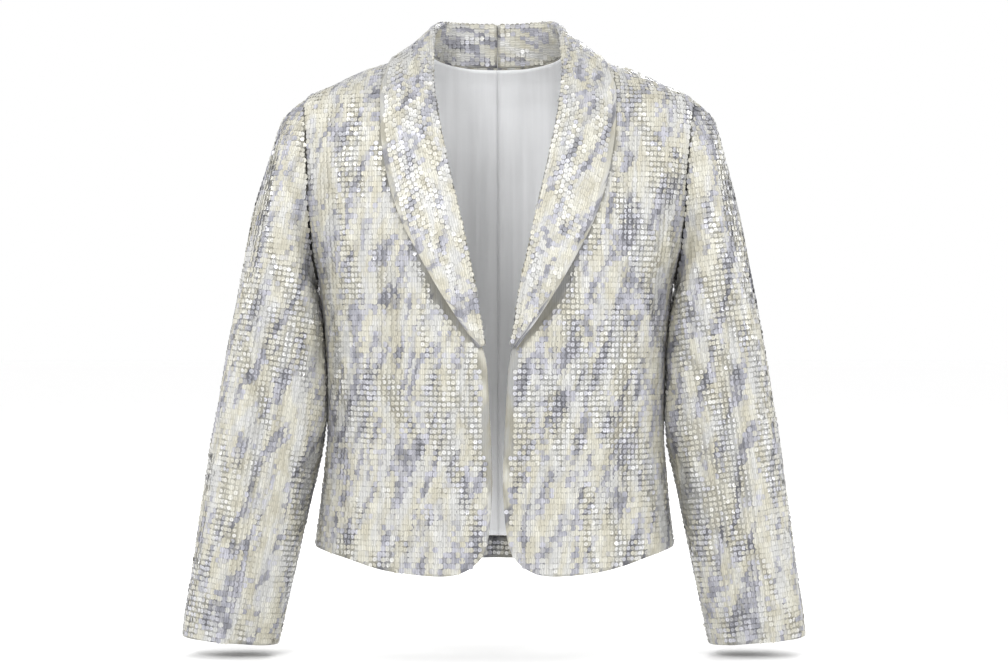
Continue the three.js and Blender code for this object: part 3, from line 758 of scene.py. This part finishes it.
def collar_section(s):
    """One cross section: up from the seam, over the roll and down to the free edge."""
    at = {name: float(f(s)) for name, f in COLLAR.items()}
    face = 1 if s < NECK_STATION else -1

    def seam_point(t):
        angle, z = seam_outline(t)
        return on_torso(angle, z, face)
    seam = seam_point(s)
    normal = body_normal(seam, face)
    edge = on_torso(torso_angle(at["edgeX"], at["edgeZ"]), at["edgeZ"], face)
    edge = edge + body_normal(edge, face) * (at["lift"] + COLLAR_CLOTH)
    roll = point(at["rollX"], at["rollY"], at["rollZ"])
    upward = unit(roll - (seam + edge) / 2)
    outward = unit(normal - upward * dot(normal, upward))
    centre = roll - upward * at["radius"]
    ahead = unit(np.cross(normal, seam_point(s + 0.02) - seam_point(max(s - 0.02, 0))))
    ahead = ahead * (1 if dot(ahead, upward) >= 0 else -1)
    base = seam + ahead * COLLAR_SEAM - normal * COLLAR_CLOTH
    inside = centre - outward * at["radius"]
    outside = centre + outward * at["radius"]
    stand = mix(base, inside, np.arange(STAND_STEPS)[:, None] / STAND_STEPS)
    turn = np.pi * np.arange(ROLL_STEPS)[:, None] / ROLL_STEPS
    over = centre + at["radius"] * (upward * np.sin(turn) - outward * np.cos(turn))
    drop = outside - upward * 0.45 * length(outside - edge)
    t = np.arange(FALL_STEPS + 1)[:, None] / FALL_STEPS
    fall = outside * (1 - t) ** 2 + 2 * drop * t * (1 - t) + edge * t * t
    height = mix(2 * at["radius"] - COLLAR_CLOTH, at["lift"] + COLLAR_CLOTH, t[:, 0])
    return np.concatenate([stand, over, clear_of_body(fall, face, height)])


def collar(hand):
    stations = np.concatenate([neck_station(np.arange(NECK_COLUMNS + 1)),
                               lapel_station(np.arange(1, LAPEL_ROWS + 1))])
    grid = np.stack([collar_section(s) for s in stations])
    grid[0, :, 0] = SEAM / 2
    out = grid_normals(grid, False)
    if out[0, -1, 1] < 0:
        out = -out
    v = -run(grid, 0)
    roll = STAND_STEPS + ROLL_STEPS // 2
    u = run(grid, 1)
    u = u - u[:, roll:roll + 1]
    rise = 0.6 * ripples(u, v, 50 + hand, 70)
    points = grid + out * (rise - NAP)[..., None]
    if hand < 0:
        points, out = mirrored(points), mirrored(out)
    return Sheet(sided("collar", hand), points, out, u, v, COLLAR_CLOTH - NAP,
                 inset=(0, LAPEL_INSET), flip=hand < 0)


# ---- meshes ----

def select_only(piece=None):
    bpy.ops.object.select_all(action="DESELECT")
    if piece:
        piece.select_set(True)
        bpy.context.view_layer.objects.active = piece


def set_flat(mesh, name, across, up):
    """UV map that holds the flat pattern, in metres, for each corner."""
    layer = mesh.uv_layers.new(name=name)
    corner = np.zeros(len(mesh.loops), int)
    mesh.loops.foreach_get("vertex_index", corner)
    layer.uv.foreach_set("vector", np.stack([across[corner], up[corner]], -1).ravel())


def cloth(sheet, materials, bare=None):
    """Grid moved to the sheet's points and given its thickness: outside, inside and rim."""
    rows, columns = sheet.u.shape
    select_only()
    bpy.ops.mesh.primitive_grid_add(x_subdivisions=columns - 1, y_subdivisions=rows - 1, size=1)
    piece = bpy.context.object
    piece.name = piece.data.name = sheet.name + "_cloth"
    mesh = piece.data
    place = np.zeros(len(mesh.vertices) * 3)
    mesh.vertices.foreach_get("co", place)
    place = place.reshape(-1, 3)
    j = np.rint((place[:, 0] + 0.5) * (columns - 1)).astype(int)
    i = np.rint((place[:, 1] + 0.5) * (rows - 1)).astype(int)
    for layer in list(mesh.uv_layers):
        mesh.uv_layers.remove(layer)
    set_flat(mesh, "flat", sheet.u[i, j] * MM, sheet.v[i, j] * MM)
    # The loose channel carries the painted shadow beside the lapel as well as the looseness. Both
    # darken the ground.
    loose = np.maximum(sheet.loose(sheet.u, sheet.v), sheet.shade)[i, j]
    plain = np.zeros(sheet.u.shape) if bare is None else bare(sheet.points).astype(float)
    set_flat(mesh, "loose", loose, plain[i, j])
    mesh.vertices.foreach_set("co", (sheet.points[i, j] * MM).ravel())
    mesh.update()
    face = mesh.polygons[len(mesh.polygons) // 2]
    out = Vector(sheet.out[i, j][face.vertices[0]])
    if face.normal.dot(out) < 0:
        mesh.flip_normals()
    if sheet.closed:
        bpy.ops.object.mode_set(mode="EDIT")
        bpy.ops.mesh.select_all(action="SELECT")
        bpy.ops.mesh.remove_doubles(threshold=0.00002)
        bpy.ops.object.mode_set(mode="OBJECT")
    wall = piece.modifiers.new("wall", "SOLIDIFY")
    wall.thickness, wall.offset = sheet.thickness * MM, -1
    wall.material_offset, wall.material_offset_rim = 1, 2
    bpy.ops.object.modifier_apply(modifier="wall")
    bpy.ops.object.shade_smooth()
    for material in materials:
        mesh.materials.append(material)
    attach(piece, BODY)
    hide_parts(sheet.name)
    return piece


def sequin_shape():
    """One sequin as it is punched: an eight-sided cup, facing +Z."""
    select_only()
    bpy.ops.mesh.primitive_circle_add(vertices=8, radius=0.5, fill_type="TRIFAN")
    disc = bpy.context.object
    places = np.array([v.co[:] for v in disc.data.vertices])
    places[:, 2] = np.where(length(places[:, :2]) < 0.1, -0.05, 0)
    faces = np.array([p.vertices[:] for p in disc.data.polygons])
    bpy.data.objects.remove(disc, do_unlink=True)
    return places, faces


SEQUIN_SHAPE = sequin_shape()


def sequin_places(sheet, bare):
    """Centres, directions and flat pattern of a sheet's sequins, column by column."""
    low, high = sheet.u.min(), sheet.u.max()
    first = math.ceil((low + SEQUIN_MARGIN) / SEQUIN_COLUMN)
    columns = np.arange(first, (high - SEQUIN_MARGIN) / SEQUIN_COLUMN)
    across = columns * SEQUIN_COLUMN
    index = np.arange(sheet.u.shape[1])
    found = []
    fields = np.concatenate([sheet.points, sheet.out, sheet.v[..., None]], -1)
    j = np.stack([np.interp(across, row, index) for row in sheet.u])
    left, right = sheet.u[:, :1] + sheet.inset[0], sheet.u[:, -1:] - sheet.inset[1]
    j[(across < left) | (across > right)] = np.nan
    for k, u in enumerate(across):
        rows = np.flatnonzero(~np.isnan(j[:, k]))
        if len(rows) < 2:
            continue
        for part in np.split(rows, np.flatnonzero(np.diff(rows) > 1) + 1):
            if len(part) < 2:
                continue
            at = j[part, k]
            a = np.minimum(at.astype(int), len(index) - 2)
            t = (at - a)[:, None]
            line = mix(fields[part, a], fields[part, a + 1], t)
            if line[0, 6] > line[-1, 6]:
                line = line[::-1]
            start, end = line[0, 6] + SEQUIN_MARGIN, line[-1, 6] - SEQUIN_MARGIN
            up = SEQUIN_ROW * np.arange(math.ceil(start / SEQUIN_ROW), end / SEQUIN_ROW)
            values = np.stack([np.interp(up, line[:, 6], line[:, c]) for c in range(6)], -1)
            rise = np.stack([np.interp(up + 1, line[:, 6], line[:, c])
                             - np.interp(up - 1, line[:, 6], line[:, c]) for c in range(3)], -1)
            found.append(np.concatenate([values, rise, np.full((len(up), 1), u), up[:, None]], 1))
    found = np.concatenate(found)
    if bare is not None:
        found = found[~bare(found[:, 0:3])]
    return found


def sequins(sheet, material, bare=None):
    """All the sequins of a sheet as one mesh: each sits on the cloth and leans a little."""
    found = sequin_places(sheet, bare)
    chance = np.random.default_rng(sheet.seed)
    count = len(found)
    loose = sheet.loose(found[:, 9], found[:, 10])
    out, up = unit(found[:, 3:6]), found[:, 6:9]
    up = unit(up - out * dot(up, out)[:, None])
    right = np.cross(up, out)
    tilt = SEQUIN_TILT * mix(0.35, 1, loose)
    lean = SEQUIN_LEAN * mix(0.5, 1, loose) + tilt * chance.normal(0, 1, count)
    lean = np.radians(lean)[:, None]
    side = np.radians(tilt * chance.normal(0, 1, count))[:, None]
    facing = unit(out - up * np.tan(lean) + right * np.tan(side))
    up = unit(up - facing * dot(up, facing)[:, None])
    right = np.cross(up, facing)
    centre = found[:, 0:3] + out * (0.35 + 0.25 * SEQUIN * np.abs(np.sin(lean)))
    centre += right * chance.normal(0, 0.4, (count, 1)) + up * chance.normal(0, 0.28, (count, 1))
    size = (SEQUIN * mix(1.22, 0.95, loose) * chance.uniform(0.94, 1.06, count))[:, None, None]
    places, faces = SEQUIN_SHAPE
    each = len(places)
    axes = np.stack([right, up, facing], 1)
    points = centre[:, None] + size * np.einsum("pk,nkc->npc", places, axes)
    corners = faces[None] + each * np.arange(count)[:, None, None]
    mesh = bpy.data.meshes.new(sheet.name + "_sequins")
    mesh.from_pydata((points.reshape(-1, 3) * MM).tolist(), [], corners.reshape(-1, 3).tolist())
    piece = bpy.data.objects.new(mesh.name, mesh)
    bpy.context.scene.collection.objects.link(piece)
    flat = (found[:, None, 9:11] + SEQUIN * places[None, :, :2]).reshape(-1, 2) * MM
    set_flat(mesh, "flat", flat[:, 0], flat[:, 1])
    set_flat(mesh, "spot", np.repeat(found[:, 9], each) * MM, np.repeat(found[:, 10], each) * MM)
    set_flat(mesh, "disc", np.tile(places[:, 0], count), np.tile(places[:, 1], count))
    set_flat(mesh, "loose", np.repeat(loose, each), np.repeat(chance.random(count), each))
    select_only(piece)
    bpy.ops.object.shade_smooth()
    mesh.materials.append(material)
    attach(piece, BODY)
    return piece


# ---- lining and hem turn-up, on the inside of the back ----

LINING_TOP = 1.8  # how far the lining ends below the neck
LINING_LOW = TURNUP + 1.2  # how far it begins above the hem
TURNUP_LOW = 0.5
LINING_ROUND = 8  # rows over which its folds rise from the hem
LINING_FADE = 10  # and sink again towards the neck
SIDE_SHARE = 0.64  # how far its sides stand in from the back's last column to the next
LINING_FOLDS = table("x0 z0 x1 z1 width rise", [
    (-70, 5, -62, -560, 9, 3.2),
    (-47, -40, -38, -600, 8, 2.6),
    (-20, 20, -26, -420, 7, 2.4),
    (16, 10, 22, -480, 7, 2.8),
    (34, -80, 30, -600, 8, 2.6),
    (58, 20, 52, -520, 9, 3.4),
    (86, -60, 78, -560, 10, 3.0),
    (-98, -80, -92, -560, 10, 3.0),
    (-8, -260, -12, -640, 6, 1.8),
    (8, -330, 10, -640, 6, 2.0),
])


def back_layer(name, first, last, from_hem, to_top, thickness, folds=None):
    """Cloth inside the back between two of its columns, from a height above the hem."""
    grid, out, u, v = whole_back()
    grid = grid + out * folded(grid, BACK_FOLDS, 30, u, v)[..., None]
    grid = grid - out * (SHELL + LINING_SPACE + LINING)
    columns = grid.shape[1] - 1
    reach = run(grid, 0)
    rows = ROWS if folds else 6
    fields = np.concatenate([grid, out, u[..., None]], -1)
    lines = []
    for j in range(first, last + 1):
        end = TURNUP if to_top is None else reach[-1, j] - to_top
        spots = np.linspace(from_hem, end, rows + 1)
        line = fields[:, j]
        if j in (0, columns):
            beside = fields[:, 1 if j == 0 else columns - 1]
            line = mix(line, beside, SIDE_SHARE)
        lines.append(np.stack([np.interp(spots, reach[:, j], line[:, k]) for k in range(7)], -1))
    layer = np.stack(lines, 1)
    points, out = layer[..., :3], -unit(layer[..., 3:6])
    u, v = layer[..., 6], run(points, 0)
    if folds:
        i = np.arange(rows + 1)[:, None]
        fade = np.minimum(1, i / LINING_ROUND) * np.minimum(1, (rows - i) / LINING_FADE)
        rise = np.maximum(fold_rise(points[..., 0], points[..., 2], folds), 0)
        rise += 0.5 * np.abs(ripples(u, v, 60 + first, 60))
        points = points + out * (fade * rise)[..., None]
    return Sheet(name, points, out, u, v, thickness)


# ---- materials ----

class Value:
    """A number, colour or vector in a material. Arithmetic on numbers makes Math nodes."""

    def __init__(self, paint, socket):
        self.paint, self.socket = paint, socket

    def maths(self, operation, first, second=0.0):
        return self.paint.node("Math", {"operation": operation}, {0: first, 1: second})

    def __add__(self, other):
        return self.maths("ADD", self, other)

    def __sub__(self, other):
        return self.maths("SUBTRACT", self, other)

    def __rsub__(self, other):
        return self.maths("SUBTRACT", other, self)

    def __mul__(self, other):
        return self.maths("MULTIPLY", self, other)

    __radd__ = __add__
    __rmul__ = __mul__

    def waves(self, pitch):
        return self.maths("SINE", self * (2 * math.pi / pitch))


class Paint:
    """A material and the few ways of adding nodes to it."""

    def __init__(self, name):
        self.material = bpy.data.materials.new(name)
        self.material.use_nodes = True
        self.tree = self.material.node_tree
        self.shader = self.tree.nodes["Principled BSDF"]

    def node(self, kind, settings=None, sockets=None, output=0):
        made = self.tree.nodes.new("ShaderNode" + kind)
        for key, value in (settings or {}).items():
            setattr(made, key, value)
        for key, value in (sockets or {}).items():
            self.join(value, made.inputs[key])
        return Value(self, made.outputs[output])

    def join(self, value, socket):
        if isinstance(value, Value):
            self.tree.links.new(value.socket, socket)
        else:
            socket.default_value = value

    def finish(self, **sockets):
        for name, value in sockets.items():
            self.join(value, self.shader.inputs[name.replace("_", " ")])
        return self.material

    def flat(self, name="flat"):
        return self.node("UVMap", {"uv_map": name})

    def part(self, vector, axis):
        return self.node("SeparateXYZ", None, {0: vector}, axis)

    def noise(self, vector, scale=1.0, detail=2.0, distortion=0.0):
        return self.node("TexNoise", None, {
            "Vector": vector, "Scale": scale, "Detail": detail, "Distortion": distortion})

    def laid(self, vector, scale, turn=0.0, shift=(0, 0, 0)):
        return self.node("Mapping", None, {
            "Vector": vector, "Location": shift, "Rotation": (0, 0, turn), "Scale": scale})

    def ease(self, value, low, high):
        return self.node("MapRange", {"interpolation_type": "SMOOTHSTEP"}, {
            "Value": value, "From Min": low, "From Max": high})

    def blend(self, factor, first, second):
        return self.node("Mix", {"data_type": "RGBA"}, {0: factor, 6: first, 7: second}, 2)

    def tint(self, colour, amount):
        """The colour, darker or lighter by a number."""
        first = colour if isinstance(colour, Value) else colour[:3]
        return self.node("VectorMath", {"operation": "SCALE"}, {0: first, "Scale": amount})

    def bump(self, height, strength, distance):
        return self.node("Bump", None, {
            "Height": height, "Strength": strength, "Distance": distance})


def shade(red, green, blue):
    """Colour from its usual 0 to 255 values."""
    values = [c / 255 for c in (red, green, blue)]
    return (*[c / 12.92 if c < 0.04 else ((c + 0.055) / 1.055) ** 2.4 for c in values], 1)


CREAM = shade(202, 200, 188)
ECRU = shade(187, 183, 167)
LAVENDER = shade(166, 166, 174)
SLATE = shade(132, 133, 141)
SILVER = shade(198, 199, 200)
# Near-white for the painted highlight on loose sequins.
PAINTED_GLINT_WHITE = shade(236, 237, 238)


def blotches(paint, at, spot, luck=0.5, plain=0.0):
    """Cream cloth with long uneven blotches of lavender grey and silver. Returns the colour,
    how grey and how silver each place is. Whole sequins are grey, by their spot and luck."""
    slanted = paint.laid(spot, (1, 1, 1), 0.36)
    uneven = paint.noise(paint.laid(slanted, (76, 17, 1)), 1, 5, 0.7) + (luck - 0.5) * 0.2
    grey = paint.ease(uneven, 0.5, 0.61) * (1 - plain)
    upright = paint.laid(paint.laid(at, (1, 1, 1), 0.14), (60, 16, 1), 0, (7.3, 2.1, 0))
    silver = paint.ease(paint.noise(upright, 1, 5, 0.5), 0.46, 0.62)
    soft = paint.noise(paint.laid(at, (90, 40, 1), 0, (1, 5, 0)), 1, 2)
    warm = paint.blend(paint.ease(soft, 0.35, 0.65), CREAM, ECRU)
    cool = paint.blend(paint.ease(soft, 0.4, 0.62), LAVENDER, SLATE)
    colour = paint.blend(silver * 0.75, warm, SILVER)
    return paint.blend(grey, colour, cool), grey, silver


def thread_ribs(paint, at):
    """Fine upright ribs of thread, a little uneven."""
    across = paint.part(at, 0) + paint.noise(paint.laid(at, (300, 60, 1)), 1, 1) * 0.0008
    strong = paint.noise(paint.laid(at, (120, 40, 1), 0, (3, 8, 0)), 1, 2)
    return (across.waves(RIB) * 0.5 + 0.5) * strong * 1.6


def cloth_material(name, depth):
    """Mesh ground under the sequins: ribbed by its rows of thread, and darkened by painted shade.
    """
    paint = Paint(name)
    at = paint.flat()
    state = paint.flat("loose")
    loose, plain = paint.part(state, 0), paint.part(state, 1)
    colour, grey, _ = blotches(paint, at, at, 0.5, plain)
    ribs = thread_ribs(paint, at)
    # Painted shade: depth darkens the whole ground, and the ground is darker still where the
    # sequins stand loose and beside the lapel.
    dark = depth * (0.82 + 0.2 * ribs) * (1 - 0.25 * grey) * (1 - 0.4 * loose)
    return paint.finish(
        Base_Color=paint.tint(colour, dark), Roughness=0.55, Metallic=0.0,
        Normal=paint.bump(ribs, 0.5, 0.0004), Sheen_Weight=0.15)


def sequin_material(name):
    """Pressed film: half matt where it lies flat, and glossy where it is loose, where some sequins
    also carry a painted highlight blended towards white.
    """
    paint = Paint(name)
    at = paint.flat()
    state = paint.flat("loose")
    loose, luck = paint.part(state, 0), paint.part(state, 1)
    colour, grey, silver = blotches(paint, at, paint.flat("spot"), luck)
    inside = paint.node("VectorMath", {"operation": "LENGTH"}, {0: paint.flat("disc")}, 1)
    hole = 1 - paint.ease(inside, 0.07, 0.14)
    rim = paint.ease(inside, 0.34, 0.5)
    ribs = thread_ribs(paint, at)
    # Painted highlight: by chance, loose sequins are blended towards white, and less so where they
    # are grey.
    painted_glint = loose * paint.ease(luck, 0.3, 0.9)
    light = (0.86 + 0.12 * luck) * (1 - 0.3 * hole * loose) * (1 - 0.2 * rim * loose)
    light = light * (0.8 + 0.32 * ribs) * (1 + 0.5 * (luck - 0.55) * grey)
    colour = paint.blend(0.45 * painted_glint * (1 - 0.5 * grey), colour, PAINTED_GLINT_WHITE)
    return paint.finish(
        Base_Color=paint.tint(colour, light),
        Metallic=0.1 + 0.2 * silver + 0.3 * painted_glint,
        Roughness=0.5 - 0.26 * loose, Coat_Weight=0.25 * loose, Coat_Roughness=0.2,
        Normal=paint.bump(ribs, 0.35, 0.0003))


def satin_material():
    """Lining: pale grey satin with a fine twill and soft streaks along the cloth."""
    paint = Paint("pale_satin")
    at = paint.flat()
    streaks = paint.noise(paint.laid(at, (160, 9, 1)), 1, 3)
    twill = (paint.part(at, 0) + paint.part(at, 1)).waves(TWILL)
    cloudy = paint.noise(at, 22, 2)
    light = 0.87 + 0.2 * streaks + 0.08 * cloudy
    return paint.finish(
        Base_Color=paint.tint(shade(244, 245, 247), light), Roughness=0.34 + 0.12 * streaks,
        Sheen_Weight=0.35, Sheen_Roughness=0.4, Normal=paint.bump(twill, 0.12, 0.0002))


def edge_material():
    """Turned cloth at the edges, without sequins: cream, with a rib of thread."""
    paint = Paint("turned_edge")
    at = paint.flat()
    ribs = paint.part(at, 1).waves(EDGE_RIB) * 0.5 + 0.5
    soft = paint.noise(paint.laid(at, (60, 25, 1)), 1, 3)
    colour = paint.blend(paint.ease(soft, 0.35, 0.65), shade(216, 209, 180), shade(190, 183, 156))
    return paint.finish(
        Base_Color=paint.tint(colour, 0.86 + 0.14 * ribs), Roughness=0.62,
        Normal=paint.bump(ribs, 0.4, 0.0003))


# ---- stage, lights and camera ----

CAMERA_PLACE = (0.0085, -2.523, -0.2968)
CAMERA_LENS = 85
CAMERA_SENSOR = 36
FLOOR_GAP = 0.012
FLOOR_RADIUS = 30


def make_camera():
    """Straight on and level, as far off as a studio camera with this lens."""
    view = bpy.data.cameras.new("camera")
    view.lens, view.sensor_width = CAMERA_LENS, CAMERA_SENSOR
    camera = bpy.data.objects.new("camera", view)
    bpy.context.scene.collection.objects.link(camera)
    camera.location = CAMERA_PLACE
    camera.rotation_euler = (math.pi / 2, 0, 0)
    bpy.context.scene.camera = camera
    bpy.context.scene.view_settings.view_transform = "Standard"


def make_stage():
    select_only()
    low = CAD_BOX[0][2] - FLOOR_GAP
    bpy.ops.mesh.primitive_circle_add(
        vertices=96, radius=FLOOR_RADIUS, fill_type="NGON", location=(0, 0, low))
    floor = bpy.context.object
    floor.name = "floor"
    bpy.ops.object.transform_apply(location=True, rotation=True, scale=True)
    paint = Paint("pale_floor")
    grain_of_floor = paint.noise(paint.node("TexCoord", None, None, 3), 3, 2)
    floor.data.materials.append(paint.finish(
        Base_Color=paint.tint(shade(255, 255, 255), 0.99 + 0.01 * grain_of_floor), Roughness=0.9))


def soft_light(name, place, width, power, aim=(0, 0, -0.3)):
    data = bpy.data.lights.new(name, "AREA")
    data.shape, data.size, data.energy = "SQUARE", width, power
    light = bpy.data.objects.new(name, data)
    bpy.context.scene.collection.objects.link(light)
    light.location = place
    light.rotation_euler = (Vector(aim) - Vector(place)).to_track_quat("-Z", "Y").to_euler()


def make_lights():
    world = bpy.data.worlds.new("pale_room")
    bpy.context.scene.world = world
    world.use_nodes = True
    sky = world.node_tree.nodes["Background"].inputs
    sky["Color"].default_value = (1, 1, 1, 1)
    sky["Strength"].default_value = 1.0
    soft_light("key", (-1.1, -2.6, 1.3), 1.0, 36)
    soft_light("fill", (1.5, -2.4, 0.5), 1.2, 16)
    soft_light("front", (0.1, -2.7, 0.5), 0.8, 5, (0, 0, -0.02))
    soft_light("left_side", (-3.0, 0.3, 0.8), 1.2, 22)
    soft_light("right_side", (3.0, 0.3, 0.8), 1.2, 22)
    soft_light("behind", (0.6, 3.0, 1.2), 1.4, 40)


# ---- the blazer ----

FRONT_STRIP = 7.5  # width of the turned strip down each front edge
STRIP_Z = (-472, -305)


def front_bare(points):
    """True on the turned strip of a front edge, and under the lapel and just beside it."""
    edge = curve(FRONT_EDGE, 60)
    edge = edge[np.argsort(edge[:, 1])]
    x, z = np.abs(points[..., 0] - MIDDLE_DRIFT), points[..., 2]
    strip = (x - np.interp(z, edge[:, 1], edge[:, 0]) < FRONT_STRIP) & (z > STRIP_Z[0])
    return (strip & (z < STRIP_Z[1])) | (lapel_gap(points) < 1)


def make_blazer():
    # Depth gives each ground its painted shade: 0.86 outside, and a darker copy for the turn-up
    # inside the hem.
    ground = cloth_material("sequin_ground", 0.86)
    shaded_inner_ground = cloth_material("shaded_turnup_ground", 0.65)
    film = sequin_material("sequin_film")
    satin = satin_material()
    edge = edge_material()
    outer, collar_faces = [ground, satin, edge], [ground, ground, edge]
    cut = [(back(), outer, "sequin_cloth", (0.56, 0.60), 0.246, (), None)]
    for shaped, materials, slot, flat, area, rests, bare in (
            (front, outer, "sequin_cloth", (0.27, 0.60), 0.104, (), front_bare),
            (sleeve, outer, "sequin_cloth", (0.40, 0.62), 0.160, ("back",), None),
            (collar, collar_faces, "collar_cloth", (0.12, 0.52), 0.033, ("back",), None)):
        cut += [(shaped(hand), materials, slot, flat, area, rests, bare) for hand in (1, -1)]
    for sheet, materials, slot, flat, area, rests, bare in cut:
        piece = cloth(sheet, materials, bare)
        glitter = sequins(sheet, film, bare)
    for name, first in (("lining_back_right", 0), ("lining_back_left", BACK_COLUMNS)):
        last = first + BACK_COLUMNS
        sheet = back_layer(name, first, last, LINING_LOW, LINING_TOP, LINING, LINING_FOLDS)
        piece = cloth(sheet, [satin, satin, satin])
    turned = back_layer("hem_turnup", 0, 2 * BACK_COLUMNS, TURNUP_LOW, None, TURNUP_CLOTH)
    piece = cloth(turned, [shaded_inner_ground, satin, edge])
    glitter = sequins(turned, film)


make_camera()
make_blazer()
make_stage()
make_lights()
bpy.context.view_layer.update()
